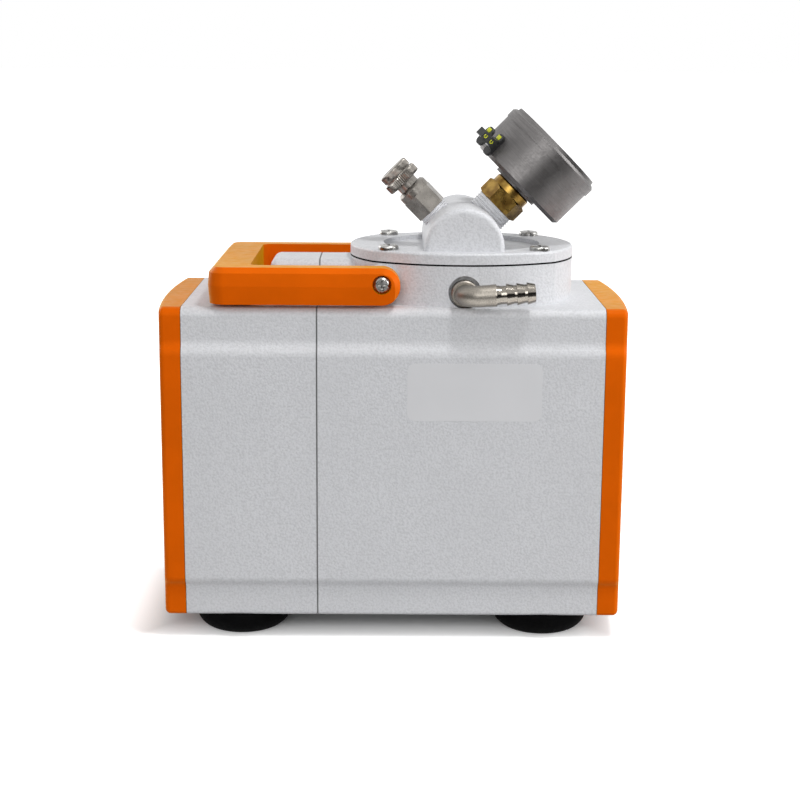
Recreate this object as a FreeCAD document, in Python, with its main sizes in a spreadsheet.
import FreeCAD, Part
import math
import os
import Sketcher
from FreeCAD import Placement, Rotation, Vector

# Oil-free diaphragm vacuum pump with a vacuum gauge and a regulating valve on its head.
# Millimetres. The origin is on the table, under the middle of the casing.
# +X runs along the motor shaft towards the pump chamber, the hose barb faces -Y, +Z is up.

doc = FreeCAD.newDocument("vacuum_pump")
sheet = doc.addObject("Spreadsheet::Sheet", "Sizes")

DRIVING = {
    # casing
    "case_half": 119, "seam_x": -43, "case_floor": 14, "case_top": 194,
    "band_half": 63.5, "face_half": 66, "low_crease": 32, "low_face": 35.5,
    "high_face": 169, "high_crease": 173.5, "top_round": 5, "bottom_round": 2,
    "high_bend": 9, "low_bend": 5.5, "wall": 4, "cavity_half": 59.5, "seam_deep": 0.6,
    "seam_wide": 0.25, "fit_gap": 0.05, "loose_gap": 0.3,
    "hump_left": -72, "hump_half": 20, "hump_top": 216, "hump_round": 6,
    "end_wall_in": -101, "end_wall_out": -113, "web_left": 8, "web_right": 20,
    "ring_left": -70, "ring_right": -56,
    # end caps
    "cap_middle": 16, "cap_gap": 0.35, "cap_drop": 4, "cap_round": 3, "cap_skin": 9, "lip_depth": 4,
    "slot_pitch": 9, "slot_high": 3.6, "slot_half": 36, "slot_low": 62,
    # pump head
    "neck_x": 40, "neck_top": 217, "neck_end": 65.5, "neck_side": 84, "neck_shift": 26,
    "neck_bore": 52, "ledge_bore": 42, "ledge_top": 183.5, "ledge_bottom": 174, "ledge_outer": 57,
    "port_height": 202.5, "port_hole": 9.25, "elbow_height": 201.5,
    "port_depth": 36, "gasket_thick": 1, "cover_thick": 6.3,
    "cover_round": 1.5, "dish_radius": 46, "dish_deep": 2.5,
    "boss_radius": 22.6, "boss_half": 48.5, "boss_axis": 226, "boss_round": 3,
    "screw_dx": 43, "screw_dy": 39, "block_radius": 51.5, "block_bottom": 186,
    "roof_height": 194.5, "roof_radius": 36, "plenum_floor": 201,
    # drive
    "shaft_z": 104, "shaft_radius": 7.5, "shaft_left": -112, "shaft_right": 50,
    "bearing_outer": 17.5, "bearing_wide": 11, "throw": 3, "pin_radius": 12.5,
    "rod_left": 34, "rod_right": 46, "rod_seat": 23.5, "rod_outer": 31,
    "core_left": -80, "core_right": -36, "core_radius": 54, "core_bore": 30.5,
    "rotor_radius": 30, "fan_left": -99, "fan_right": -93, "fan_radius": 46,
    "clamp_radius": 29, "clamp_low": 177, "diaphragm_low": 180.5, "diaphragm_thick": 2.5,
    "clamp_top": 186.25,
    # handle
    "pivot_x": -6.5, "pivot_z": 207.5, "arm_in": 51.5, "arm_ridge": 66,
    "arm_low": 196, "arm_high": 216.5, "arm_chamfer": 3, "arm_lean": 0.8,
    "bar_left": -104, "bar_right": -81, "pivot_boss": 9, "shoulder": 4, "recess_radius": 5.35,
    "recess_floor": 62.7, "grip_corner": 9, "grip_inside": 5,
    # gauge, measured along its own axis from the middle of the boss
    "gauge_back": 45, "gauge_front": 71.6, "case_radius": 32.4, "bezel_radius": 33,
    "bezel_front": 76, "lens_radius": 29, "lens_front": 78, "dial_depth": 64,
    "hex_brass": 24, "brass_hex_start": 28.2, "brass_hex_end": 38.4, "collar_end": 43.4,
    "vent_depth": 52, "vent_hole": 2.55, "vent_high": 2, "vent_long": 15, "vent_wide": 6.2,
    "wing_low": 8.8, "wing_thick": 2.1, "wing_long": 12.6, "lever_high": 14.4,
    # regulating valve, measured the same way along the other port
    "valve_hex": 17.8, "valve_hex_start": 24.8, "valve_hex_end": 37.8, "valve_collar": 43.4,
    "knob_start": 47.4, "knob_step": 52.9, "knob_waist": 53.5, "knob_end": 58.5,
    "knob_radius": 10.9, "knob_tip": 9.6,
    # hose barb and silencer
    "elbow_radius": 6, "barb_y": 69, "barb_tip": 38.6, "silencer_end": 75.25, "hex_silencer": 14,
    "collar_radius": 7.7, "collar_high": 6.5,
    # feet and rear fittings
    "foot_x": 88, "foot_y": 36, "foot_radius": 28, "foot_round": 11,
    "inlet_x": -86, "inlet_z": 60, "switch_z": 140,
}


class Size:
    """A length that carries its own spreadsheet formula."""

    def __init__(self, value, formula):
        self.value = float(value)
        self.formula = formula

    def __add__(self, other):
        return Size(self.value + value_of(other), f"({self.formula} + {text_of(other)})")

    def __radd__(self, other):
        return Size(value_of(other) + self.value, f"({text_of(other)} + {self.formula})")

    def __sub__(self, other):
        return Size(self.value - value_of(other), f"({self.formula} - {text_of(other)})")

    def __rsub__(self, other):
        return Size(value_of(other) - self.value, f"({text_of(other)} - {self.formula})")

    def __mul__(self, other):
        return Size(self.value * value_of(other), f"({self.formula} * {text_of(other)})")

    __rmul__ = __mul__

    def __truediv__(self, other):
        return Size(self.value / value_of(other), f"({self.formula} / {text_of(other)})")

    def __neg__(self):
        return Size(-self.value, f"(-{self.formula})")


class SizeTable:
    """Every driving dimension by its name in the spreadsheet."""


def value_of(size):
    return size.value if isinstance(size, Size) else float(size)


def text_of(size):
    return size.formula if isinstance(size, Size) else repr(float(size))


S = SizeTable()
for row, (alias, number) in enumerate(DRIVING.items(), 1):
    sheet.set(f"A{row}", alias)
    sheet.set(f"B{row}", str(number))
    sheet.setAlias(f"B{row}", alias)
    setattr(S, alias, Size(number, f"Sizes.{alias}"))
doc.recompute()

PARTS = []
TO_PLUS_X = Rotation(Vector(0, 1, 0), 90)
TO_FRONT = Rotation(Vector(1, 0, 0), 90)
TO_BACK = Rotation(Vector(1, 0, 0), -90)
GAUGE_TURN = Rotation(Vector(0, 1, 0), 45)
VALVE_TURN = Rotation(Vector(0, 1, 0), -45)
HALF_TURN = Rotation(Vector(0, 0, 1), 180)
HEX_CORNER = 1 / math.sqrt(3)
# the vent sits round the gauge's case from its upper left, towards the front
VENT_ROUND = 34
VENT_SWING = Rotation(Vector(0, 1, 0), VENT_ROUND)
VENT_TURN = Rotation(Vector(0, 0, 1), VENT_ROUND)
HEX_SWING = Rotation(Vector(0, 0, 1), 22)
SLOT_COUNT = 10
SWITCH_TILT = 7


# ---------------------------------------------------------------- building blocks

def bind(item, setting, size):
    """Give a property its value and, where it has one, its formula."""
    if isinstance(size, Size):
        item.setExpression(setting, size.formula)
    else:
        item.setExpression(setting, repr(float(size)))


def place(item, at, turn=None):
    item.Placement = Placement(Vector(*[value_of(size) for size in at]), turn or Rotation())
    for letter, size in zip("xyz", at):
        if isinstance(size, Size):
            item.setExpression(f"Placement.Base.{letter}", size.formula)


def new_body(label, at=(0, 0, 0), turn=None, several=False):
    body = doc.addObject("PartDesign::Body", label)
    body.Label = label
    body.AllowCompound = several
    place(body, at, turn)
    PARTS.append(body)
    return body


def new_sketch(body, plane="XY_Plane", offset=0, turn=None):
    sketch = body.newObject("Sketcher::SketchObject", body.Name + "_sketch")
    support = next(item for item in body.Origin.OriginFeatures if item.Role == plane)
    sketch.AttachmentSupport = [(support, "")]
    sketch.MapMode = "FlatFace"
    sketch.AttachmentOffset = Placement(Vector(0, 0, value_of(offset)), turn or Rotation())
    if isinstance(offset, Size):
        sketch.setExpression("AttachmentOffset.Base.z", offset.formula)
    return sketch


def pin(sketch, edge, end, point):
    """Fix one vertex at a point that is given from the sketch's origin."""
    for kind, axis, size in (("DistanceX", -2, point[0]), ("DistanceY", -1, point[1])):
        value = value_of(size)
        if value == 0:
            sketch.addConstraint(Sketcher.Constraint("PointOnObject", edge, end, axis))
            continue
        index = sketch.addConstraint(Sketcher.Constraint(kind, -1, 1, edge, end, value))
        if isinstance(size, Size):
            sketch.setExpression(f"Constraints[{index}]", size.formula)


def polygon(sketch, points):
    first = sketch.GeometryCount
    count = len(points)
    spots = [Vector(value_of(x), value_of(y), 0) for x, y in points]
    sketch.addGeometry([Part.LineSegment(spots[i], spots[(i + 1) % count]) for i in range(count)])
    joints = []
    for i in range(count):
        joints.append(Sketcher.Constraint("Coincident", first + i, 2, first + (i + 1) % count, 1))
    sketch.addConstraint(joints)
    for i, point in enumerate(points):
        pin(sketch, first + i, 1, point)
    return sketch


def rectangle(sketch, low, high):
    return polygon(sketch, [low, (high[0], low[1]), high, (low[0], high[1])])


def circle(sketch, centre, radius):
    middle = Vector(value_of(centre[0]), value_of(centre[1]), 0)
    edge = sketch.addGeometry(Part.Circle(middle, Vector(0, 0, 1), value_of(radius)))
    pin(sketch, edge, 3, centre)
    index = sketch.addConstraint(Sketcher.Constraint("Radius", edge, value_of(radius)))
    if isinstance(radius, Size):
        sketch.setExpression(f"Constraints[{index}]", radius.formula)
    return sketch


def arc_between(sketch, centre, radius, start, finish):
    """An arc about a pinned centre, anticlockwise from start to finish, both in degrees."""
    middle = Vector(value_of(centre[0]), value_of(centre[1]), 0)
    whole = Part.Circle(middle, Vector(0, 0, 1), value_of(radius))
    edge = sketch.addGeometry(Part.ArcOfCircle(whole, math.radians(start), math.radians(finish)))
    pin(sketch, edge, 3, centre)
    index = sketch.addConstraint(Sketcher.Constraint("Radius", edge, value_of(radius)))
    if isinstance(radius, Size):
        sketch.setExpression(f"Constraints[{index}]", radius.formula)
    return edge


def hexagon(sketch, across_flats):
    corners = []
    for step in range(6):
        angle = math.radians(60 * step)
        corner = across_flats * HEX_CORNER
        if step in (0, 3):
            corners.append((corner * math.cos(angle), 0))
        else:
            corners.append((corner * math.cos(angle), corner * math.sin(angle)))
    return polygon(sketch, corners)


def chamfer_nut(body, across_flats, low, high):
    """Turn the corners of a hexagon down at both ends."""
    inside = across_flats / 2
    outside = across_flats * HEX_CORNER + 1
    rise = (outside - inside) * math.tan(math.radians(30))
    sketch = new_sketch(body, "XZ_Plane")
    polygon(sketch, [(inside, low), (outside, low), (outside, low + rise)])
    polygon(sketch, [(inside, high), (outside, high - rise), (outside, high)])
    item = feature(body, "Groove", sketch, Angle=360)
    item.ReferenceAxis = (sketch, ["V_Axis"])
    doc.recompute()


def feature(body, kind, profile, **settings):
    item = body.newObject("PartDesign::" + kind, body.Name + "_" + kind.lower())
    item.Profile = profile
    for name, setting in settings.items():
        if isinstance(setting, Size):
            item.setExpression(name, setting.formula)
        else:
            setattr(item, name, setting)
    return item


def pad(body, profile, length):
    return feature(body, "Pad", profile, Length=length)


def cut(body, profile, depth, forward=True):
    """Cut along the sketch's normal, or against it, and prove that something went."""
    doc.recompute()
    before = body.Shape.Volume
    item = feature(body, "Pocket", profile, Length=depth, Reversed=forward)
    doc.recompute()
    if not body.Shape.Volume < before - 1e-6:
        raise RuntimeError(f"{body.Label}: {item.Name} cuts nothing, {item.State}")
    return item


def soften(body, radius, test, kind="Fillet"):
    """Round or chamfer the edges that a test picks."""
    doc.recompute()
    base = body.Tip
    names = [f"Edge{n}" for n, edge in enumerate(base.Shape.Edges, 1) if test(edge)]
    if not names:
        raise RuntimeError(f"{body.Label}: no edge to soften")
    item = body.newObject("PartDesign::" + kind, body.Name + "_" + kind.lower())
    item.Base = (base, names)
    bind(item, "Radius" if kind == "Fillet" else "Size", radius)
    doc.recompute()
    return item


def turned(label, profile, at, turn=None, several=False):
    """A body turned about its own Z axis from a profile of (radius, height) points."""
    body = new_body(label, at, turn, several)
    sketch = polygon(new_sketch(body, "XZ_Plane"), profile)
    item = feature(body, "Revolution", sketch, Angle=360)
    item.ReferenceAxis = (sketch, ["V_Axis"])
    doc.recompute()
    return body


def tube(label, inner, outer, low, high, at, turn=None):
    return turned(label, [(inner, low), (outer, low), (outer, high), (inner, high)], at, turn)


def cross(sketch, centre, reach, half_width):
    """A Phillips cross as one closed outline."""
    x, y = centre
    wide, thin = reach, half_width
    quarter = [(wide, thin), (thin, thin), (thin, wide)]
    points = []
    for sign_x, sign_y, order in ((1, 1, 1), (-1, 1, -1), (-1, -1, 1), (1, -1, -1)):
        points += [(x + sign_x * a, y + sign_y * b) for a, b in quarter[::order]]
    return polygon(sketch, points)


def screw_group(label, spots, at, turn, shank, length, head, head_high, reach):
    """Identical pan-head screws. Local Z runs out of the head, and Z = 0 is under it."""
    body = new_body(label, at, turn, several=True)
    shanks = new_sketch(body, offset=-length)
    heads = new_sketch(body)
    crosses = new_sketch(body, offset=head_high)
    for spot in spots:
        circle(shanks, spot, shank)
        circle(heads, spot, head)
        cross(crosses, spot, reach, reach * 0.24)
    pad(body, shanks, length)
    pad(body, heads, head_high)
    top = value_of(head_high)
    soften(body, head_high * 0.55, lambda edge: edge.BoundBox.ZMin > top - 0.01)
    cut(body, crosses, head_high * 0.7, forward=False)
    return body


def four(dx, dy, x=0, y=0):
    return [(x + dx, y + dy), (x - dx, y + dy), (x - dx, y - dy), (x + dx, y - dy)]


def along_x(edge):
    box = edge.BoundBox
    return box.YLength < 0.01 and box.ZLength < 0.01


def near(value, target, slack=0.05):
    return abs(value - value_of(target)) < slack


# ---------------------------------------------------------------- casing

def case_profile(sketch):
    """Section of the casing: narrow bands at the top and foot, a proud face between."""
    side = [(S.band_half, S.case_floor), (S.band_half, S.low_crease), (S.face_half, S.low_face),
            (S.face_half, S.high_face), (S.band_half, S.high_crease), (S.band_half, S.case_top)]
    return polygon(sketch, side + [(-y, z) for y, z in reversed(side)])


def cavity(sketch, margin=0):
    half = S.cavity_half - margin
    low = S.case_floor + S.wall + margin
    high = S.case_top - S.wall - margin
    return rectangle(sketch, (-half, low), (half, high))


def round_casing(body):
    """Round the long edges at the top and foot of the casing, and soften its long creases."""
    for heights, radius in (((S.case_top,), S.top_round), ((S.case_floor,), S.bottom_round),
                            ((S.high_crease, S.high_face), S.high_bend),
                            ((S.low_crease, S.low_face), S.low_bend)):
        soften(body, radius, lambda edge: along_x(edge)
               and any(near(edge.BoundBox.ZMin, height) for height in heights)
               and abs(edge.BoundBox.YMin) > S.band_half.value - 0.1)


def tie_spots():
    across = S.cavity_half - 7.5
    return four(across, 78, 0, S.shaft_z)


def holes_around(sketch, radius, count, ring, centre, start=0):
    for step in range(count):
        angle = math.radians(start + 360 * step / count)
        circle(sketch, (centre[0] + ring * math.cos(angle), centre[1] + ring * math.sin(angle)),
               radius)
    return sketch


def hump(body, left, right, hollow_left, hollow_right):
    """Raised duct on top of the casing, inside the folded handle."""
    outer = rectangle(new_sketch(body, "YZ_Plane", left), (-S.hump_half, S.case_top - 1),
                      (S.hump_half, S.hump_top))
    pad(body, outer, right - left)
    soften(body, S.hump_round, lambda edge: along_x(edge) and near(edge.BoundBox.ZMin, S.hump_top)
           and near(abs(edge.BoundBox.YMin), S.hump_half))
    inner = rectangle(new_sketch(body, "YZ_Plane", hollow_left),
                      (S.wall - S.hump_half, S.case_top - S.wall - 1),
                      (S.hump_half - S.wall, S.hump_top - S.wall))
    cut(body, inner, hollow_right - hollow_left)


def make_motor_housing():
    body = new_body("motor_housing")
    pad(body, case_profile(new_sketch(body, "YZ_Plane", -S.case_half)), S.case_half + S.seam_x)
    round_casing(body)
    cut(body, cavity(new_sketch(body, "YZ_Plane", -S.case_half)), S.case_half + S.end_wall_out)
    cut(body, cavity(new_sketch(body, "YZ_Plane", S.end_wall_in)), S.ring_left - S.end_wall_in)
    cut(body, cavity(new_sketch(body, "YZ_Plane", S.ring_right)), S.seam_x - S.ring_right)
    bore = circle(new_sketch(body, "YZ_Plane", S.ring_left), (0, S.shaft_z), S.core_radius)
    cut(body, bore, S.ring_right - S.ring_left)
    seat = circle(new_sketch(body, "YZ_Plane", S.end_wall_in), (0, S.shaft_z), S.bearing_outer)
    cut(body, seat, S.bearing_wide, forward=False)
    air = holes_around(new_sketch(body, "YZ_Plane", S.end_wall_out), 7, 8, 38, (0, S.shaft_z))
    cut(body, air, S.end_wall_in - S.end_wall_out)
    ties = new_sketch(body, "YZ_Plane", S.end_wall_out)
    for spot in tie_spots():
        circle(ties, spot, 2.55)
    cut(body, ties, S.ring_right - S.end_wall_out)
    hump(body, S.hump_left, S.seam_x, S.hump_left + S.wall, S.seam_x)
    # the left end of the hump leans in with a rounded top edge
    soften(body, S.hump_round - 1, lambda edge: near(edge.BoundBox.XMax, S.hump_left)
           and edge.BoundBox.ZMin > S.hump_top.value - S.hump_round.value - 0.1)
    seam_groove(body, S.seam_x, False)
    foot_holes(body, -S.foot_x)
    wall_cut = new_sketch(body, "XZ_Plane", -S.face_half)
    rectangle(wall_cut, (S.inlet_x - 14, S.inlet_z - 10), (S.inlet_x + 14, S.inlet_z + 10))
    rectangle(wall_cut, (S.inlet_x - 9.7, S.switch_z - 6.6), (S.inlet_x + 9.7, S.switch_z + 6.6))
    for side in (-20, 20):
        circle(wall_cut, (S.inlet_x + side, S.inlet_z), 1.55)
    cut(body, wall_cut, 9)


def seam_groove(body, start, forward):
    """Shallow shadow line all round the joint between the two housings."""
    inset = S.seam_deep
    corner = 2
    low, high = S.case_floor + inset, S.case_top - inset
    band, face, side = S.band_half - inset, S.face_half - inset, S.hump_half - inset
    crown = S.hump_top - inset
    half = [(band - corner / 2, low), (band, low + corner / 2), (band, S.low_crease),
            (face, S.low_face), (face, S.high_face), (band, S.high_crease),
            (band, high - corner), (band - corner, high), (side, high),
            (side, crown - corner - 1), (side - corner - 1, crown)]
    ring = rectangle(new_sketch(body, "YZ_Plane", start), (-S.face_half - 2, S.case_floor - 2),
                     (S.face_half + 2, S.hump_top + 2))
    polygon(ring, half + [(-y, z) for y, z in reversed(half)])
    cut(body, ring, S.seam_wide, forward)


def foot_holes(body, x):
    holes = new_sketch(body, offset=S.case_floor)
    for y in (S.foot_y, -S.foot_y):
        circle(holes, (x, y), 2.55)
    cut(body, holes, S.wall + 1)


def head_outline(sketch, centre_x=0):
    """Plan of the pump head: two round ends joined by two shallow arcs."""
    corner = 37.6
    shallow = 51.7
    right = arc_between(sketch, (centre_x, 0), S.neck_end, -corner, corner)
    back = arc_between(sketch, (centre_x, -S.neck_shift), S.neck_side, shallow, 180 - shallow)
    left = arc_between(sketch, (centre_x, 0), S.neck_end, 180 - corner, 180 + corner)
    front = arc_between(sketch, (centre_x, S.neck_shift), S.neck_side, 180 + shallow,
                        360 - shallow)
    for one, other in ((right, back), (back, left), (left, front), (front, right)):
        sketch.addConstraint(Sketcher.Constraint("Coincident", one, 2, other, 1))
    return sketch


def cover_screw_spots(centre_x=0):
    return four(S.screw_dx, S.screw_dy, centre_x)


def make_pump_housing():
    body = new_body("pump_housing")
    pad(body, case_profile(new_sketch(body, "YZ_Plane", S.seam_x)), S.case_half - S.seam_x)
    round_casing(body)
    hump(body, S.seam_x, S.neck_x - S.neck_end + 6, S.seam_x, S.neck_x - S.neck_end - 2)
    neck = head_outline(new_sketch(body, offset=S.case_top - S.wall), S.neck_x)
    pad(body, neck, S.neck_top - S.case_top + S.wall)
    length = 21
    for far_side in (S.arm_in - 0.5, -S.arm_in + 0.5 + length):
        boss = new_sketch(body, "XZ_Plane", far_side - length)
        circle(boss, (S.pivot_x, S.pivot_z), S.pivot_boss)
        pad(body, boss, length)
    cut(body, cavity(new_sketch(body, "YZ_Plane", S.seam_x)), S.web_left - S.seam_x)
    cut(body, cavity(new_sketch(body, "YZ_Plane", S.web_right)), S.case_half - S.web_right)
    ring = circle(new_sketch(body, offset=S.ledge_bottom), (S.neck_x, 0), S.ledge_outer)
    pad(body, ring, S.case_top - S.wall - S.ledge_bottom + 0.5)
    bore = circle(new_sketch(body, offset=S.ledge_top), (S.neck_x, 0), S.neck_bore)
    cut(body, bore, S.neck_top - S.ledge_top)
    opening = circle(new_sketch(body, offset=S.ledge_bottom - 8), (S.neck_x, 0), S.ledge_bore)
    cut(body, opening, S.ledge_top - S.ledge_bottom + 8)
    seat = circle(new_sketch(body, "YZ_Plane", S.web_right), (0, S.shaft_z), S.bearing_outer)
    cut(body, seat, S.bearing_wide, forward=False)
    pass_through = circle(new_sketch(body, "YZ_Plane", S.web_left), (0, S.shaft_z), 14)
    holes_around(pass_through, 7, 6, 38, (0, S.shaft_z), 30)
    cut(body, pass_through, S.web_right - S.web_left)
    lugs = new_sketch(body, "YZ_Plane", S.seam_x)
    for y, z in tie_spots():
        rectangle(lugs, (y - 8, z - 9), (y + 8, z + 9))
    pad(body, lugs, 23)
    ties = new_sketch(body, "YZ_Plane", S.seam_x)
    for spot in tie_spots():
        circle(ties, spot, 2.55)
    cut(body, ties, 19)
    threads = new_sketch(body, offset=S.neck_top - 19)
    for spot in cover_screw_spots(S.neck_x):
        circle(threads, spot, 3.05)
    cut(body, threads, 19)
    for start, forward in ((S.neck_bore - 6, True), (6 - S.neck_bore, False)):
        port = circle(new_sketch(body, "XZ_Plane", start), (S.neck_x, S.port_height), S.port_hole)
        cut(body, port, 13.5, forward)
    for start, forward in ((S.arm_in - 9.5, True), (9.5 - S.arm_in, False)):
        thread = circle(new_sketch(body, "XZ_Plane", start), (S.pivot_x, S.pivot_z), 2.55)
        cut(body, thread, 9.5, forward)
    seam_groove(body, S.seam_x, True)
    foot_holes(body, S.foot_x)


def make_end_cap(label, side):
    """Moulded end cap. Local X runs out from the casing's end."""
    body = new_body(label, (side * S.case_half, 0, 0), HALF_TURN if side < 0 else None)
    pad(body, case_profile(new_sketch(body, "YZ_Plane", S.cap_gap)), S.cap_middle - S.cap_gap)
    round_casing(body)
    half = S.face_half + 1
    bow = (S.face_half * S.face_half + S.cap_drop * S.cap_drop) / (S.cap_drop * 2)
    trim = new_sketch(body)
    reach = math.degrees(math.asin(half.value / bow.value))
    arc = arc_between(trim, (S.cap_middle - bow, 0), bow, -reach, reach)
    low_x = bow.value * math.cos(math.radians(reach)) + S.cap_middle.value - bow.value
    outer = S.cap_middle.value + 4
    corners = [(low_x, half.value), (outer, half.value), (outer, -half.value), (low_x, -half.value)]
    spots = [Vector(x, y, 0) for x, y in corners]
    lines = [trim.addGeometry(Part.LineSegment(spots[i], spots[i + 1])) for i in range(3)]
    for one, other in ((arc, lines[0]), (lines[0], lines[1]), (lines[1], lines[2]),
                       (lines[2], arc)):
        trim.addConstraint(Sketcher.Constraint("Coincident", one, 2, other, 1))
    pin(trim, lines[1], 1, (S.cap_middle + 4, half))
    pin(trim, lines[1], 2, (S.cap_middle + 4, -half))
    trim.addConstraint(Sketcher.Constraint("Horizontal", lines[0]))
    trim.addConstraint(Sketcher.Constraint("Horizontal", lines[2]))
    cut(body, trim, S.case_top + 10)
    inner_face = S.cap_middle.value - S.cap_drop.value - 1
    soften(body, S.cap_round, lambda edge: edge.BoundBox.XMin > inner_face)
    lip = cavity(new_sketch(body, "YZ_Plane", -S.lip_depth), S.loose_gap)
    pad(body, lip, S.lip_depth + 1)
    hollow = cavity(new_sketch(body, "YZ_Plane", -S.lip_depth), S.loose_gap + 2)
    cut(body, hollow, S.lip_depth + S.cap_skin)
    slots = new_sketch(body, "YZ_Plane", S.cap_skin - 1)
    for step in range(SLOT_COUNT):
        low = S.slot_low + step * S.slot_pitch
        rectangle(slots, (-S.slot_half, low), (S.slot_half, low + S.slot_high))
    cut(body, slots, S.cap_middle)


def make_feet():
    body = new_body("rubber_feet", several=True)
    discs = new_sketch(body)
    holes = new_sketch(body)
    shanks = new_sketch(body, offset=7)
    for spot in four(S.foot_x, S.foot_y):
        circle(discs, spot, S.foot_radius)
        circle(holes, spot, 8)
        circle(shanks, spot, 2.6)
    pad(body, discs, S.case_floor)
    soften(body, S.foot_round, lambda edge: edge.BoundBox.ZMax < 0.01)
    cut(body, holes, 7)
    cut(body, shanks, S.case_floor - 7)


def make_foot_fasteners():
    screw_group("foot_screws", four(S.foot_x, S.foot_y), (0, 0, 7), Rotation(Vector(1, 0, 0), 180),
                2.5, 15, 4.6, 3.2, 2.6)
    nuts = new_body("foot_nuts", (0, 0, S.case_floor + S.wall), several=True)
    outlines = new_sketch(nuts)
    for x, y in four(S.foot_x, S.foot_y):
        corner = 4 / math.cos(math.radians(30))
        turns = [math.radians(60 * step + 30) for step in range(6)]
        polygon(outlines, [(x + corner * math.cos(a), y + corner * math.sin(a)) for a in turns])
        circle(outlines, (x, y), 2.55)
    pad(nuts, outlines, 4)


def make_tie_screws():
    spots = [(z - S.shaft_z, y) for y, z in tie_spots()]
    screw_group("tie_screws", [(-a, b) for a, b in spots], (S.end_wall_out, 0, S.shaft_z),
                Rotation(Vector(0, 1, 0), -90), 2.5, 86, 4.6, 3.2, 2.6)


# ---------------------------------------------------------------- pump head

def make_head_gasket():
    body = new_body("head_gasket", (S.neck_x, 0, S.neck_top))
    outline = head_outline(new_sketch(body))
    circle(outline, (0, 0), S.block_radius - 12)
    for spot in cover_screw_spots():
        circle(outline, spot, 3.25)
    pad(body, outline, S.gasket_thick)


def make_head_cover():
    body = new_body("head_cover", (S.neck_x, 0, S.neck_top + S.gasket_thick))
    pad(body, head_outline(new_sketch(body)), S.cover_thick)
    top = S.cover_thick.value
    soften(body, S.cover_round, lambda edge: near(edge.BoundBox.ZMin, top))
    dish = circle(new_sketch(body, offset=S.cover_thick - S.dish_deep), (0, 0), S.dish_radius)
    cut(body, dish, S.dish_deep)
    axis = S.boss_axis - S.neck_top - S.gasket_thick
    root = new_sketch(body, "XZ_Plane", -S.boss_half)
    rectangle(root, (-S.boss_radius, 1), (S.boss_radius, axis))
    pad(body, root, S.boss_half * 2)
    crown = circle(new_sketch(body, "XZ_Plane", -S.boss_half), (0, axis), S.boss_radius)
    pad(body, crown, S.boss_half * 2)
    under = rectangle(new_sketch(body, "XZ_Plane", -S.boss_half - 1),
                      (-S.boss_radius - 2, axis - S.boss_radius - 2), (S.boss_radius + 2, 0))
    cut(body, under, S.boss_half * 2 + 2)
    soften(body, S.boss_round, lambda edge: near(abs(edge.BoundBox.YMin), S.boss_half)
           and near(abs(edge.BoundBox.YMax), S.boss_half) and edge.BoundBox.YLength < 0.01
           and edge.BoundBox.ZMax > top + 0.1)
    for turn, bore, spot_radius, spot_depth in ((GAUGE_TURN, 10.05, 13, 20),
                                                (VALVE_TURN, 7.05, 10, 21)):
        hole = circle(new_sketch(body, offset=axis, turn=turn), (0, 0), bore)
        cut(body, hole, S.boss_radius + 5)
        face = new_sketch(body, offset=axis, turn=turn)
        face.AttachmentOffset = Placement(
            Vector(0, 0, axis.value) + turn.multVec(Vector(0, 0, spot_depth)), turn)
        face.setExpression("AttachmentOffset.Base.z", None)
        circle(face, (0, 0), spot_radius)
        cut(body, face, 12)
    passage = circle(new_sketch(body), (0, 0), 4)
    cut(body, passage, axis)
    holes = new_sketch(body)
    for spot in cover_screw_spots():
        circle(holes, spot, 3.25)
    cut(body, holes, S.cover_thick + 1)


def make_cover_screws():
    top = S.neck_top + S.gasket_thick + S.cover_thick
    screw_group("cover_screws", cover_screw_spots(), (S.neck_x, 0, top), None, 3, 25, 5.75, 2.6, 3.2)


def make_valve_block():
    body = new_body("valve_block", (S.neck_x, 0, S.block_bottom))
    high = S.neck_top - S.block_bottom
    pad(body, circle(new_sketch(body), (0, 0), S.block_radius), high)
    roof = S.roof_height - S.block_bottom
    cut(body, circle(new_sketch(body), (0, 0), S.roof_radius), roof)
    floor = S.plenum_floor - S.block_bottom
    plenums = new_sketch(body, offset=floor)
    rectangle(plenums, (-30, -36), (30, 5))
    rectangle(plenums, (-30, 11), (30, 36))
    cut(body, plenums, high - floor)
    ports = new_sketch(body, offset=roof)
    for x in (-9, 9):
        circle(ports, (x, -18), 2.5)
        circle(ports, (x, 22), 2.5)
    circle(ports, (0, -18), 1.55)
    circle(ports, (0, 22), 1.55)
    cut(body, ports, floor - roof)
    middle = S.elbow_height - S.block_bottom
    for start, forward in ((S.port_depth - 2, True), (2 - S.port_depth, False)):
        port = circle(new_sketch(body, "XZ_Plane", start), (0, middle), S.elbow_radius + S.fit_gap)
        cut(body, port, S.neck_bore - S.port_depth + 4, forward)


def make_reed(label, y, height):
    """Thin steel flap over two ports, held in the middle by one screw."""
    body = new_body(label, (S.neck_x, y, height))
    outline = new_sketch(body)
    rectangle(outline, (-13, -4.5), (13, 4.5))
    circle(outline, (0, 0), 1.55)
    pad(body, outline, 0.4)
    soften(body, 4.4, lambda edge: edge.BoundBox.ZLength > 0.3 and edge.BoundBox.XLength < 0.01
           and abs(edge.CenterOfMass.x) > 12)


def make_reed_screws():
    body = new_body("reed_screws", (S.neck_x, 0, 0), several=True)
    roof = S.roof_height
    floor = S.plenum_floor
    for y, start, length, head_start in ((-18, roof - 0.4, 5, roof - 1.4),
                                         (22, floor - 4.6, 5, floor + 0.4)):
        pad(body, circle(new_sketch(body, offset=start), (0, y), 1.5), length)
        pad(body, circle(new_sketch(body, offset=head_start), (0, y), 2.8), 1)


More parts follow.
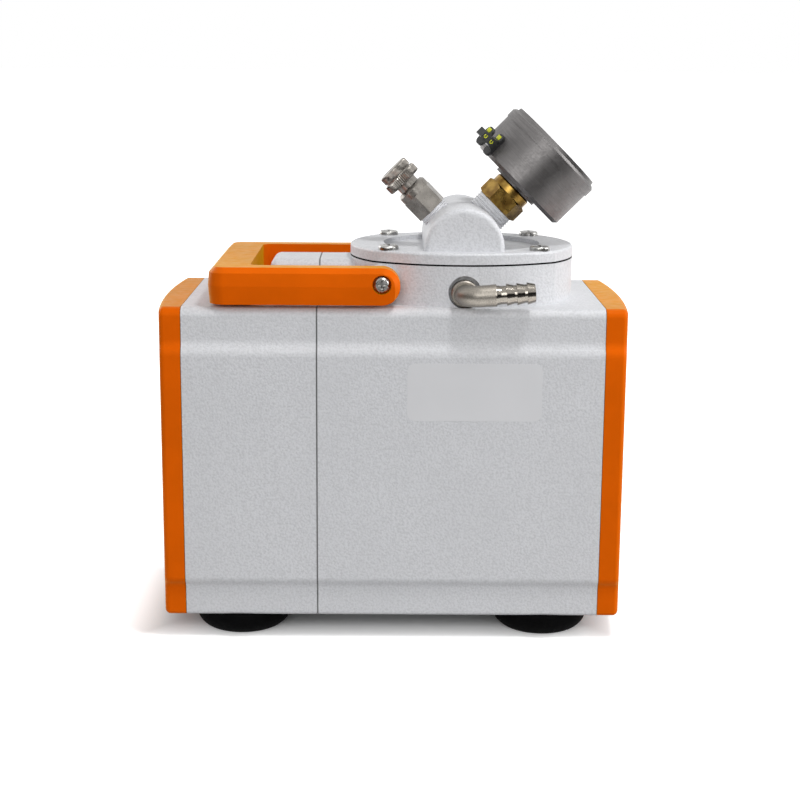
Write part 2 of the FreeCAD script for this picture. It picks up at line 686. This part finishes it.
def make_hose_elbow():
    """Cast elbow with a turned barb. Local Z runs out of the pump, local X along the barb."""
    body = new_body("hose_elbow", (S.neck_x, 0, S.elbow_height),
                    TO_FRONT.multiply(Rotation(Vector(0, 0, 1), 4)))
    bend = 9
    start = S.port_depth + 1
    legs = new_sketch(body, "XZ_Plane")
    top = S.barb_y
    path = [Vector(0, value_of(start), 0), Vector(0, value_of(top) - bend, 0),
            Vector(bend, value_of(top), 0), Vector(14, value_of(top), 0)]
    rise = legs.addGeometry(Part.LineSegment(path[0], path[1]))
    turn = legs.addGeometry(Part.ArcOfCircle(
        Part.Circle(Vector(bend, value_of(top) - bend, 0), Vector(0, 0, 1), bend),
        math.pi / 2, math.pi))
    run = legs.addGeometry(Part.LineSegment(path[2], path[3]))
    legs.addConstraint(Sketcher.Constraint("Coincident", rise, 2, turn, 2))
    legs.addConstraint(Sketcher.Constraint("Coincident", turn, 1, run, 1))
    pin(legs, rise, 1, (0, start))
    pin(legs, turn, 3, (bend, top - bend))
    pin(legs, rise, 2, (0, top - bend))
    pin(legs, run, 2, (14, top))
    legs.addConstraint(Sketcher.Constraint("DistanceX", -1, 1, run, 1, bend))
    for kind, radius in (("AdditivePipe", S.elbow_radius), ("SubtractivePipe", 3)):
        if kind == "SubtractivePipe":
            add_barb(body, top)
            collar = circle(new_sketch(body, offset=S.neck_bore + 0.5), (0, 0), S.collar_radius)
            pad(body, collar, S.collar_high)
            end = value_of(S.neck_bore + S.collar_high) + 0.5
            soften(body, 0.8, lambda edge: near(edge.BoundBox.ZMin, end)
                   and near(edge.BoundBox.ZMax, end) and edge.BoundBox.XLength > 13, "Chamfer")
        ring = circle(new_sketch(body, offset=start), (0, 0), radius)
        item = body.newObject("PartDesign::" + kind, "elbow_" + kind.lower())
        item.Profile = ring
        item.Spine = (legs, [])
        doc.recompute()
    bore = circle(new_sketch(body, "YZ_Plane", 12), (0, top), 3)
    cut(body, bore, 40)


def add_barb(body, axis):
    """The ring, the taper and three barbs, turned about the elbow's outlet."""
    low, high = 5.15, 6.25
    profile = [(13, 0), (13, 5.9), (14, 5.9), (14, 6.15), (17, 6.15), (17, 5.6), (19.5, low)]
    for start in (22.5, 28.2, 34.0):
        profile += [(start, low), (start, high), (start + 4.4, low)]
    profile += [(S.barb_tip, 4.9), (S.barb_tip, 0)]
    points = [(x, axis - r) if r else (x, axis) for x, r in profile]
    sketch = polygon(new_sketch(body, "XZ_Plane"), points)
    item = feature(body, "Revolution", sketch, Angle=360)
    item.ReferenceAxis = (sketch, [f"Edge{len(points)}"])
    doc.recompute()


def make_silencer():
    start = S.port_depth + 1
    at = (S.neck_x, 0, S.elbow_height)
    bush = turned("silencer_bush", [(3, start), (S.elbow_radius, start), (S.elbow_radius, 60),
                                    (7.2, 60), (7.2, 61), (3, 61)], at, TO_BACK)
    pad(bush, hexagon(new_sketch(bush, offset=61), S.hex_silencer), 5)
    cut(bush, circle(new_sketch(bush, offset=61), (0, 0), 3), 5)
    turned("silencer_element", [(0, 66), (6.5, 66), (6.5, 71), (5.5, 73.5),
                                (3.5, S.silencer_end), (0, S.silencer_end)], at, TO_BACK)


# ---------------------------------------------------------------- drive

def make_bearing(label, inner, outer, wide, at, turn):
    """Sealed ball bearing, drawn as one ring with its shields set back."""
    rim = (outer - inner) * 0.24
    shield = 0.7
    profile = [(inner, 0), (inner + rim, 0), (inner + rim, shield), (outer - rim, shield),
               (outer - rim, 0), (outer, 0), (outer, wide), (outer - rim, wide),
               (outer - rim, wide - shield), (inner + rim, wide - shield), (inner + rim, wide),
               (inner, wide)]
    turned(label, profile, at, turn)


def make_motor():
    at = (0, 0, S.shaft_z)
    tube("stator_core", S.core_bore, S.core_radius, S.core_left, S.core_right, at, TO_PLUS_X)
    for label, low, high in (("stator_winding_left", S.core_left - 10, S.core_left),
                             ("stator_winding_right", S.core_right, S.core_right + 10)):
        coil = tube(label, S.core_bore + 3.5, S.core_radius - 4, low, high, at, TO_PLUS_X)
        outside = low.value if "left" in label else high.value
        soften(coil, 3.5, lambda edge: near(edge.BoundBox.ZMin, outside)
               and near(edge.BoundBox.ZMax, outside))
    inner = S.shaft_radius + S.fit_gap
    make_bearing("rear_bearing", inner, S.bearing_outer, S.bearing_wide,
                 (S.end_wall_in - S.bearing_wide, 0, S.shaft_z), TO_PLUS_X)
    make_bearing("front_bearing", inner, S.bearing_outer, S.bearing_wide,
                 (S.web_right - S.bearing_wide, 0, S.shaft_z), TO_PLUS_X)
    shaft = turned("crankshaft", [(0, S.shaft_left), (S.shaft_radius, S.shaft_left),
                                  (S.shaft_radius, S.shaft_right), (0, S.shaft_right)], at, TO_PLUS_X)
    soften(shaft, 1, lambda edge: near(edge.BoundBox.ZLength, 0)
           and edge.BoundBox.XLength > 10, "Chamfer")
    tube("rotor_core", S.shaft_radius, S.rotor_radius, S.core_left, S.core_right, at, TO_PLUS_X)


def make_fan():
    body = new_body("cooling_fan", (S.fan_left, 0, S.shaft_z), TO_PLUS_X)
    thick = S.fan_right - S.fan_left
    hub = circle(new_sketch(body), (0, 0), 14)
    circle(hub, (0, 0), S.shaft_radius)
    pad(body, hub, thick)
    disc = circle(new_sketch(body), (0, 0), S.fan_radius)
    circle(disc, (0, 0), 13)
    pad(body, disc, 1.5)
    vane = rectangle(new_sketch(body), (13, -0.9), (S.fan_radius - 1, 0.9))
    blade = pad(body, vane, thick)
    ring = body.newObject("PartDesign::PolarPattern", "fan_blades")
    ring.Originals = [blade]
    axis = next(item for item in body.Origin.OriginFeatures if item.Role == "Z_Axis")
    ring.Axis = (axis, [""])
    ring.Angle = 360
    ring.Occurrences = 9
    body.Tip = ring


def make_crank():
    wide = S.rod_right - S.rod_left
    eccentric = new_body("eccentric", (S.rod_left, 0, S.shaft_z), TO_PLUS_X)
    disc = circle(new_sketch(eccentric), (S.throw, 0), S.pin_radius)
    circle(disc, (0, 0), S.shaft_radius)
    pad(eccentric, disc, wide)
    weight = new_body("counterweight", (S.rod_left - 10, 0, S.shaft_z), TO_PLUS_X)
    pad(weight, circle(new_sketch(weight), (0, 0), 12), 8)
    sector = new_sketch(weight)
    arc = arc_between(sector, (0, 0), Size(30, "30"), 110, 250)
    side = 30 * math.sin(math.radians(110))
    reach = 30 * math.cos(math.radians(110))
    for start, finish in ((Vector(reach, -side, 0), Vector(0, 0, 0)),
                          (Vector(0, 0, 0), Vector(reach, side, 0))):
        sector.addGeometry(Part.LineSegment(start, finish))
    sector.addConstraint(Sketcher.Constraint("Coincident", arc, 2, arc + 1, 1))
    sector.addConstraint(Sketcher.Constraint("Coincident", arc + 1, 2, arc + 2, 1))
    sector.addConstraint(Sketcher.Constraint("Coincident", arc + 2, 2, arc, 1))
    pin(sector, arc + 1, 2, (0, 0))
    for end in (1, 2):
        sector.addConstraint(Sketcher.Constraint("DistanceX", -1, 1, arc, end, reach))
    pad(weight, sector, 8)
    cut(weight, circle(new_sketch(weight), (0, 0), S.shaft_radius), 8)


def make_connecting_rod():
    pin_z = S.shaft_z - S.throw
    body = new_body("connecting_rod", (0, 0, pin_z))
    big_end = circle(new_sketch(body, "YZ_Plane", S.rod_left), (0, 0), S.rod_outer)
    pad(body, big_end, S.rod_right - S.rod_left)
    shank = rectangle(new_sketch(body, "YZ_Plane", S.rod_left + 2), (-10, 20),
                      (10, S.clamp_low - pin_z - 2))
    pad(body, shank, S.rod_right - S.rod_left - 4)
    foot = circle(new_sketch(body, offset=S.clamp_low - pin_z - 4), (S.neck_x, 0), 24)
    pad(body, foot, 4)
    bore = circle(new_sketch(body, "YZ_Plane", S.rod_left), (0, 0), S.rod_seat)
    cut(body, bore, S.rod_right - S.rod_left)
    thread = circle(new_sketch(body, offset=S.clamp_low - pin_z - 18), (S.neck_x, 0), 3)
    cut(body, thread, 18)
    make_bearing("rod_bearing", S.pin_radius + S.fit_gap, S.rod_seat,
                 S.rod_right - S.rod_left, (S.rod_left, 0, pin_z), TO_PLUS_X)


def make_diaphragm():
    at = (S.neck_x, 0, 0)
    middle_top = S.diaphragm_low + S.diaphragm_thick
    rim_top = S.ledge_top + S.diaphragm_thick
    tube("clamp_plate_lower", 3, S.clamp_radius, S.clamp_low, S.diaphragm_low, at)
    turned("diaphragm", [(3, S.diaphragm_low), (30, S.diaphragm_low), (S.ledge_bore, S.ledge_top),
                         (51, S.ledge_top), (51, rim_top), (41, rim_top), (29.5, middle_top),
                         (3, middle_top)], at)
    turned("clamp_plate_upper", [(3, middle_top), (S.clamp_radius, middle_top),
                                 (S.clamp_radius, S.clamp_top - 1), (28, S.clamp_top),
                                 (6, S.clamp_top), (3, S.clamp_top - 3)], at)
    turned("clamp_screw", [(0, S.clamp_low - 16), (3, S.clamp_low - 16), (3, S.clamp_top - 3),
                           (6, S.clamp_top), (0, S.clamp_top)], at)


def make_capacitor():
    can = new_body("run_capacitor", (5, 0, 34.5), Rotation(Vector(0, 1, 0), -90))
    pad(can, circle(new_sketch(can), (0, 0), 13.5), 56)
    soften(can, 2, lambda edge: edge.BoundBox.XLength > 20)
    clip = new_body("capacitor_clip", (-28, 0, 34.5), Rotation(Vector(0, 1, 0), -90))
    band = circle(circle(new_sketch(clip), (0, 0), 15), (0, 0), 13.5)
    pad(clip, band, 10)
    tab = rectangle(new_sketch(clip), (-16.5, -5), (-14, 5))
    pad(clip, tab, 10)


# ---------------------------------------------------------------- handle

def on_rim(edge):
    """True for the edges round the outside of the folded handle, seen from above."""
    box = edge.BoundBox
    slack = 1
    if box.ZLength > 0.01 and box.XMin < S.pivot_x.value - 0.1:
        return False
    outside = max(abs(box.YMin), abs(box.YMax)) > S.arm_ridge.value - slack
    corner = box.XMax < S.bar_left.value + S.grip_corner.value + slack
    return box.XMax < S.bar_left.value + slack or (outside and (corner or box.YLength < slack))


def make_handle():
    body = new_body("handle")
    low, high = S.arm_low, S.arm_high
    radius = (high - low) / 2
    tip = S.pivot_x + radius
    middle = low + radius
    plan = rectangle(new_sketch(body, offset=low), (S.bar_left, -S.arm_ridge),
                     (tip, S.arm_ridge))
    pad(body, plan, high - low)
    # the outside leans in above and below a ridge at mid height
    lean = S.arm_lean
    arms = new_sketch(body, "YZ_Plane", S.bar_left - 1)
    grip = new_sketch(body, "XZ_Plane", -S.arm_ridge - 1)
    for edge_height in (low, high):
        for sketch, side, inward in ((arms, -S.arm_ridge, lean), (arms, S.arm_ridge, -lean),
                                     (grip, S.bar_left, lean)):
            polygon(sketch, [(side, middle), (side + inward, edge_height), (side, edge_height)])
    cut(body, arms, tip - S.bar_left + 2)
    cut(body, grip, S.arm_ridge * 2 + 2)
    soften(body, S.grip_corner, lambda edge: edge.BoundBox.ZLength > 8
           and near(edge.CenterOfMass.x, S.bar_left, 1))
    room = rectangle(new_sketch(body, offset=low), (S.bar_right, -S.arm_in), (tip, S.arm_in))
    cut(body, room, high - low)
    soften(body, S.grip_inside, lambda edge: edge.BoundBox.ZLength > 20
           and near(edge.CenterOfMass.x, S.bar_right))
    for far_side, floor, forward in ((S.arm_ridge, S.recess_floor, True),
                                     (-S.arm_ridge, -S.recess_floor, False)):
        recess = circle(new_sketch(body, "XZ_Plane", floor), (S.pivot_x, S.pivot_z),
                        S.recess_radius)
        cut(body, recess, 6, forward)
    bore = circle(new_sketch(body, "XZ_Plane", -S.arm_ridge - 1), (S.pivot_x, S.pivot_z),
                  S.shoulder + S.fit_gap)
    cut(body, bore, S.arm_ridge * 2 + 2)
    for face, forward in ((S.arm_ridge + 1, False), (-S.arm_ridge - 1, True)):
        ends = new_sketch(body, "XZ_Plane", face)
        arc = arc_between(ends, (S.pivot_x, middle), radius, -90, 90)
        far = tip + 3
        spots = [Vector(S.pivot_x.value, high.value, 0), Vector(S.pivot_x.value, high.value + 3, 0),
                 Vector(far.value, high.value + 3, 0), Vector(far.value, low.value - 3, 0),
                 Vector(S.pivot_x.value, low.value - 3, 0), Vector(S.pivot_x.value, low.value, 0)]
        lines = [ends.addGeometry(Part.LineSegment(spots[i], spots[i + 1])) for i in range(5)]
        chain = [arc] + lines
        for one, other in zip(chain, chain[1:] + [arc]):
            ends.addConstraint(Sketcher.Constraint("Coincident", one, 2, other, 1))
        ends.addConstraint(Sketcher.Constraint("Vertical", lines[0]))
        pin(ends, lines[1], 1, (S.pivot_x, high + 3))
        pin(ends, lines[2], 1, (far, high + 3))
        pin(ends, lines[3], 1, (far, low - 3))
        pin(ends, lines[4], 1, (S.pivot_x, low - 3))
        ends.addConstraint(Sketcher.Constraint("Vertical", lines[4]))
        cut(body, ends, S.arm_ridge - S.arm_in + 2, forward)
    soften(body, S.arm_chamfer, lambda edge: on_rim(edge) and near(edge.BoundBox.ZMin, high),
           "Chamfer")


def make_handle_screws():
    """Two shoulder screws. Each head sits in the recess of its arm."""
    for label, turn in (("handle_screw_front", TO_FRONT), ("handle_screw_rear", TO_BACK)):
        start = S.arm_in - 0.5
        under = S.recess_floor + S.loose_gap
        body = turned(label, [(0, start - 8), (2.5, start - 8), (2.5, start), (S.shoulder, start),
                              (S.shoulder, under), (4.75, under), (4.75, under + 1.6),
                              (3.4, under + 2.9), (0, under + 2.9)],
                      (S.pivot_x, 0, S.pivot_z), turn)
        recess = cross(new_sketch(body, offset=under + 3), (0, 0), 2.5, 0.6)
        cut(body, recess, 2.2, forward=False)


# ---------------------------------------------------------------- gauge and regulating valve

def port():
    return (S.neck_x, 0, S.boss_axis)


def make_gauge_adapter():
    adapter = turned("gauge_adapter", [(3, 8), (10, 8), (10, S.brass_hex_start),
                                       (11.4, S.brass_hex_start), (11.4, S.brass_hex_end),
                                       (12, S.brass_hex_end), (12, S.collar_end - 1),
                                       (11, S.collar_end), (6.6, S.collar_end), (6.6, 32), (3, 32)],
                     port(), GAUGE_TURN)
    nut = hexagon(new_sketch(adapter, offset=S.brass_hex_start), S.hex_brass)
    circle(nut, (0, 0), 7)
    pad(adapter, nut, S.brass_hex_end - S.brass_hex_start)
    chamfer_nut(adapter, S.hex_brass, S.brass_hex_start, S.brass_hex_end)
    tube("gauge_thread_tape", 10, 12.6, 20, S.brass_hex_start, port(), GAUGE_TURN)
    turned("gauge_socket", [(1.5, 32), (6.6, 32), (6.6, S.collar_end), (14.75, S.collar_end),
                            (14.75, S.gauge_back), (8, S.gauge_back), (8, S.gauge_back + 8),
                            (1.5, S.gauge_back + 8)], port(), GAUGE_TURN)


def make_gauge():
    back, front = S.gauge_back, S.gauge_front
    skin = 1.2
    inner = S.case_radius - skin
    case = turned("gauge_case", [(8.05, back), (S.case_radius - 2, back),
                                 (S.case_radius, back + 2), (S.case_radius, front),
                                 (inner, front), (inner, back + 2.4), (inner - 1, back + skin),
                                 (8.05, back + skin)], port(), GAUGE_TURN)
    vent = circle(new_sketch(case, "YZ_Plane", 0, VENT_SWING), (0, S.vent_depth), S.vent_hole)
    cut(case, vent, S.case_radius + 2, forward=False)
    turned("gauge_bezel", [(S.case_radius, front - 2), (S.bezel_radius, front - 2),
                           (S.bezel_radius, S.bezel_front - 1.5),
                           (S.bezel_radius - 1.5, S.bezel_front), (S.lens_radius + 1.6,
                                                                   S.bezel_front),
                           (S.lens_radius + 1.2, S.lens_front), (S.lens_radius, S.lens_front),
                           (S.lens_radius - 0.6, S.bezel_front - 1.5),
                           (S.lens_radius - 0.6, S.bezel_front - 2), (30.6, S.bezel_front - 2),
                           (30.6, front), (S.case_radius, front)], port(), GAUGE_TURN)
    turned("gauge_lens", [(0, 72), (30.4, 72), (30.4, 74), (0, 74)], port(), GAUGE_TURN)
    turned("gauge_dial", [(2, S.dial_depth), (30.5, S.dial_depth), (30.5, S.dial_depth + 0.8),
                          (2, S.dial_depth + 0.8)], port(), GAUGE_TURN)
    make_gauge_works()


def make_gauge_works():
    """Bourdon tube, its movement and the pointer."""
    coil = new_body("bourdon_tube", port(), GAUGE_TURN)
    bend = 21
    depth = S.gauge_back + 9
    oval = new_sketch(coil, "XZ_Plane")
    rectangle(oval, (bend - 1.4, depth - 3.5), (bend + 1.4, depth + 3.5))
    item = feature(coil, "Revolution", oval, Angle=260)
    item.ReferenceAxis = (oval, ["V_Axis"])
    doc.recompute()
    feed = rectangle(new_sketch(coil, offset=depth - 3.5), (8, -2.5), (bend + 1, 2.5))
    pad(coil, feed, 4)
    works = new_body("gauge_movement", port(), GAUGE_TURN)
    plates = rectangle(new_sketch(works, offset=S.gauge_back + 8), (-7.5, -6), (7.5, 6))
    pad(works, plates, 9)
    cut(works, circle(new_sketch(works, offset=S.gauge_back + 8), (0, 0), 1.1), 9)
    at_zero = GAUGE_TURN.multiply(Rotation(Vector(0, 0, 1), 45))
    needle = new_body("gauge_pointer", port(), at_zero)
    pad(needle, circle(new_sketch(needle, offset=S.gauge_back + 10), (0, 0), 1.05), 14.5)
    hub = circle(new_sketch(needle, offset=67), (0, 0), 4)
    pad(needle, hub, 1.6)
    blade = polygon(new_sketch(needle, offset=67.4), [(-7, -1.6), (0, -1.3), (23, -0.35), (23, 0.35),
                                                      (0, 1.3), (-7, 1.6)])
    pad(needle, blade, 0.7)


def slot_outline(sketch, long, wide):
    """A straight slot's outline with round ends, middled on the sketch's origin."""
    half = (long - wide) / 2
    ends = [(half, wide / 2), (-half, wide / 2), (-half, -wide / 2), (half, -wide / 2)]
    spots = [Vector(x.value, y.value, 0) for x, y in ends]
    back = sketch.addGeometry(Part.LineSegment(spots[0], spots[1]))
    front = sketch.addGeometry(Part.LineSegment(spots[2], spots[3]))
    for edge, first, last in ((back, 0, 1), (front, 2, 3)):
        pin(sketch, edge, 1, ends[first])
        pin(sketch, edge, 2, ends[last])
    for centre, start, first, last in ((-half, 90, (back, 2), (front, 1)),
                                       (half, -90, (front, 2), (back, 1))):
        whole = Part.Circle(Vector(centre.value, 0, 0), Vector(0, 0, 1), wide.value / 2)
        edge = sketch.addGeometry(Part.ArcOfCircle(whole, math.radians(start),
                                                   math.radians(start + 180)))
        sketch.addConstraint(Sketcher.Constraint("Coincident", edge, 1, *first))
        sketch.addConstraint(Sketcher.Constraint("Coincident", edge, 2, *last))
        index = sketch.addConstraint(Sketcher.Constraint("DistanceX", -1, 1, edge, 3,
                                                         centre.value))
        sketch.setExpression(f"Constraints[{index}]", centre.formula)
    return sketch


def make_vent():
    """Vent plug in the wall of the gauge, and the lever that opens it."""
    turn = GAUGE_TURN.multiply(VENT_TURN).multiply(Rotation(Vector(0, 1, 0), -90))
    lean = math.sqrt(0.5)
    at = (S.neck_x + S.vent_depth * lean, 0, S.boss_axis + S.vent_depth * lean)
    seat = new_body("vent_seat", at, turn)
    base = slot_outline(new_sketch(seat, offset=S.case_radius - 1.2), S.vent_long, S.vent_wide)
    pad(seat, base, S.vent_high + 1.2)
    saddle = circle(new_sketch(seat, "YZ_Plane", -S.vent_long), (0, 0), S.case_radius)
    cut(seat, saddle, S.vent_long * 2)
    plug = circle(new_sketch(seat, offset=S.case_radius - 3.5), (0, 0), S.vent_hole - S.fit_gap)
    pad(seat, plug, S.vent_high + 3)
    lever = new_body("vent_lever", at, turn)
    foot = S.case_radius + S.vent_high + 0.2
    post = rectangle(new_sketch(lever, offset=foot), (-2.4, -3.3), (2.4, 3.3))
    pad(lever, post, S.lever_high - S.vent_high)
    root = polygon(new_sketch(lever, "XZ_Plane", -3.3), [(-3.3, foot), (3.3, foot),
                                                        (2.4, foot + 4), (-2.4, foot + 4)])
    pad(lever, root, 6.6)
    wing = new_sketch(lever, offset=S.case_radius + S.wing_low)
    pad(lever, slot_outline(wing, S.wing_long, S.vent_wide), S.wing_thick)
    tip = value_of(foot + S.lever_high - S.vent_high)
    soften(lever, 0.6, lambda edge: near(edge.BoundBox.ZMin, tip))


def make_valve():
    body = turned("valve_body", [(3.55, 8), (7, 8), (7, S.valve_hex_start),
                                 (8.5, S.valve_hex_start), (8.5, S.valve_hex_end),
                                 (9.5, S.valve_hex_end), (9.5, S.valve_collar - 1.6),
                                 (8.1, S.valve_collar), (3.55, S.valve_collar)],
                  port(), VALVE_TURN)
    nut = hexagon(new_sketch(body, offset=S.valve_hex_start, turn=HEX_SWING), S.valve_hex)
    circle(nut, (0, 0), 5)
    pad(body, nut, S.valve_hex_end - S.valve_hex_start)
    tube("valve_thread_tape", 7, 9.7, 21, S.valve_hex_start, port(), VALVE_TURN)
    turned("valve_stem", [(0, 14), (1.2, 18), (3.5, 22), (3.5, S.valve_collar + 0.3),
                          (6.5, S.valve_collar + 0.3), (6.5, S.knob_start), (0, S.knob_start)],
           port(), VALVE_TURN)
    knob = turned("valve_knob", [(0, S.knob_start), (S.knob_radius - 1, S.knob_start),
                                 (S.knob_radius, S.knob_start + 1), (S.knob_radius, S.knob_step - 1),
                                 (S.knob_radius - 1, S.knob_step), (8.9, S.knob_step),
                                 (8.9, S.knob_waist), (S.knob_tip - 0.6, S.knob_waist),
                                 (S.knob_tip, S.knob_waist + 0.6), (S.knob_tip, S.knob_end - 0.8),
                                 (S.knob_tip - 0.8, S.knob_end), (0, S.knob_end)],
                  port(), VALVE_TURN)
    grooves = holes_around(new_sketch(knob, offset=S.knob_start), 0.75, 30,
                           value_of(S.knob_radius) + 0.15, (0, 0))
    cut(knob, grooves, S.knob_step - S.knob_start)


# ---------------------------------------------------------------- rear fittings

def make_power_inlet():
    at = (S.inlet_x, 0, S.inlet_z)
    body = new_body("power_inlet", at)
    flange = new_sketch(body, "XZ_Plane", -S.face_half - 3)
    rectangle(flange, (-25, -12), (25, 12))
    for side in (-20, 20):
        circle(flange, (side, 0), 1.6)
    pad(body, flange, 3)
    soften(body, 5, lambda edge: edge.BoundBox.YLength > 2.9 and edge.BoundBox.XLength < 0.01
           and abs(edge.CenterOfMass.x) > 24)
    pad(body, rectangle(new_sketch(body, "XZ_Plane", -S.face_half), (-13.8, -9.8), (13.8, 9.8)), 18)
    socket = polygon(new_sketch(body, "XZ_Plane", -S.face_half - 3),
                     [(-12, -8), (12, -8), (12, 4), (8, 8), (-8, 8), (-12, 4)])
    cut(body, socket, 18)
    holes = new_sketch(body, "XZ_Plane", -S.face_half + 15)
    for x, z in ((-7, -2), (7, -2), (0, 2)):
        rectangle(holes, (x - 1, z - 2.5), (x + 1, z + 2.5))
    cut(body, holes, 3)
    pins = new_body("inlet_pins", at, several=True)
    blades = new_sketch(pins, "XZ_Plane", 4 - S.face_half)
    for x, z in ((-7, -2), (7, -2), (0, 2)):
        rectangle(blades, (x - 1, z - 2.5), (x + 1, z + 2.5))
    pad(pins, blades, 18)
    screw_group("inlet_screws", [(-20, 0), (20, 0)], (S.inlet_x, S.face_half + 3, S.inlet_z),
                TO_BACK, 1.5, 12, 2.8, 1.8, 1.7)


def make_switch():
    at = (S.inlet_x, 0, S.switch_z)
    body = new_body("switch_housing", at)
    pad(body, rectangle(new_sketch(body, "XZ_Plane", -S.face_half - 2), (-10.5, -7.5),
                        (10.5, 7.5)), 2)
    pad(body, rectangle(new_sketch(body, "XZ_Plane", -S.face_half), (-9.5, -6.4), (9.5, 6.4)), 18)
    cut(body, rectangle(new_sketch(body, "XZ_Plane", -S.face_half - 2), (-8.5, -5.4),
                        (8.5, 5.4)), 13)
    pivot = (S.inlet_x, S.face_half + 0.5, S.switch_z)
    rocker = new_body("switch_rocker", pivot, Rotation(Vector(0, 0, 1), SWITCH_TILT))
    polygon(new_sketch(rocker, "XY_Plane", -5), [(-7.4, -4), (7.4, -4), (7.9, 2.6), (0, 1.7),
                                                 (-7.9, 2.6)])
    pad(rocker, rocker.Group[-1], 10)


def build():
    make_motor_housing()
    make_pump_housing()
    make_end_cap("left_end_cap", -1)
    make_end_cap("right_end_cap", 1)
    make_feet()
    make_foot_fasteners()
    make_tie_screws()
    make_head_gasket()
    make_head_cover()
    make_cover_screws()
    make_valve_block()
    make_reed("intake_reed", -18, S.roof_height - 0.4)
    make_reed("exhaust_reed", 22, S.plenum_floor)
    make_reed_screws()
    make_hose_elbow()
    make_silencer()
    make_motor()
    make_fan()
    make_crank()
    make_connecting_rod()
    make_diaphragm()
    make_capacitor()
    make_handle()
    make_handle_screws()
    make_gauge_adapter()
    make_gauge()
    make_vent()
    make_valve()
    make_power_inlet()
    make_switch()


def check():
    doc.recompute()
    for item in doc.Objects:
        if "Invalid" in item.State or "Error" in item.State:
            raise RuntimeError(f"{item.Label} failed: {item.State}")
    for part in PARTS:
        if part.Shape.isNull() or not part.Shape.isValid():
            raise RuntimeError(f"{part.Label} has no valid shape")


def write():
    os.makedirs("parts", exist_ok=True)
    for part in PARTS:
        part.Shape.exportStep(os.path.join("parts", part.Label + ".step"))
        box = part.Shape.BoundBox
        print(f"{part.Label}: {len(part.Shape.Solids)} solids, {part.Shape.Volume / 1000:.1f} cm3, "
              f"X {box.XMin:.1f} {box.XMax:.1f}, Y {box.YMin:.1f} {box.YMax:.1f}, "
              f"Z {box.ZMin:.1f} {box.ZMax:.1f}")


build()
check()
write()
